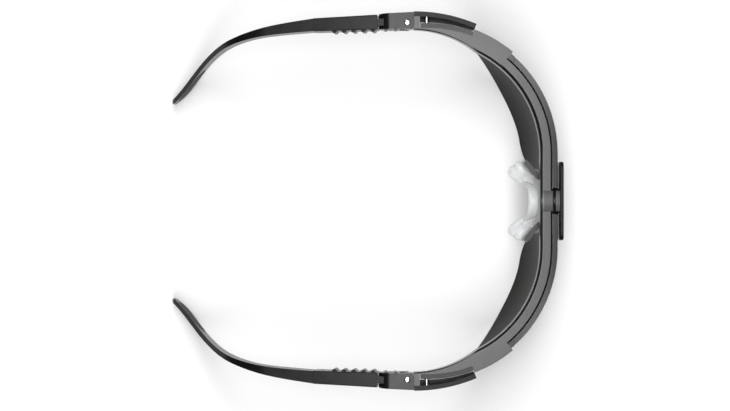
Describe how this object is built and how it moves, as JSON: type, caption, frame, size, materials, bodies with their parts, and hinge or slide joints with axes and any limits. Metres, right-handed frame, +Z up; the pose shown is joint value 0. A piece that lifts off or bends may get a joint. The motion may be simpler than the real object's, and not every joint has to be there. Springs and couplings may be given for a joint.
{
  "type": "carrier eyewear",
  "caption": "Wraparound carrier eyewear with a tinted shield, a brow bar with a bridge plate, folding, tilting and lengthening temples and a clear nose saddle.",
  "frame": {"origin": "centre of the bounding box's base, on the surface the eyewear stands on", "axes": "+Z up, -Y the way the wearer faces, +X the wearer's left"},
  "size_m": [0.1518, 0.1616, 0.0504],
  "materials": {
    "black_nylon": "satin moulded nylon",
    "gloss_black": "polished moulding",
    "smoke_lens": "tinted, polished",
    "clear_vinyl": "soft, clear",
    "steel": "bright",
    "soft_grip": "matt, soft"
  },
  "bodies": {
    "front": {"brow_bar": "black_nylon", "shield_lens": "smoke_lens", "bridge_plate": "black_nylon", "nose_bracket": "black_nylon", "nose_saddle": "clear_vinyl", "side_clip_left": "gloss_black", "side_clip_right": "gloss_black", "clip_pin_left": "steel", "clip_pin_right": "steel"},
    "hinge_left": {"hinge_block_left": "black_nylon", "hinge_screw_left": "steel", "tilt_pin_left": "steel"},
    "sleeve_left": {"temple_sleeve_left": "black_nylon", "stop_pin_left": "steel"},
    "arm_left": {"temple_arm_left": "black_nylon", "tip_pad_left": "soft_grip"},
    "hinge_right": {"hinge_block_right": "black_nylon", "hinge_screw_right": "steel", "tilt_pin_right": "steel"},
    "sleeve_right": {"temple_sleeve_right": "black_nylon", "stop_pin_right": "steel"},
    "arm_right": {"temple_arm_right": "black_nylon", "tip_pad_right": "soft_grip"}
  },
  "joints": [
    {"name": "fold_left", "type": "hinge", "parent": "front", "child": "hinge_left", "pos_m": [0.0715, -0.0182, 0.0454], "axis": [0, 0, 1], "range_deg": [0, 90]},
    {"name": "tilt_left", "type": "hinge", "parent": "hinge_left", "child": "sleeve_left", "pos_m": [0.0719, -0.0114, 0.0454], "axis": [0.9995, 0.0314, 0], "range_deg": [-8, 8]},
    {"name": "length_left", "type": "slide", "parent": "sleeve_left", "child": "arm_left", "axis": [-0.0312, 0.9921, -0.1219], "range_m": [0, 0.0096]},
    {"name": "fold_right", "type": "hinge", "parent": "front", "child": "hinge_right", "pos_m": [-0.0715, -0.0182, 0.0454], "axis": [0, 0, -1], "range_deg": [0, 80]},
    {"name": "tilt_right", "type": "hinge", "parent": "hinge_right", "child": "sleeve_right", "pos_m": [-0.0719, -0.0114, 0.0454], "axis": [0.9995, -0.0314, 0], "range_deg": [-8, 8]},
    {"name": "length_right", "type": "slide", "parent": "sleeve_right", "child": "arm_right", "axis": [0.0312, 0.9921, -0.1219], "range_m": [0, 0.0096]}
  ]
}
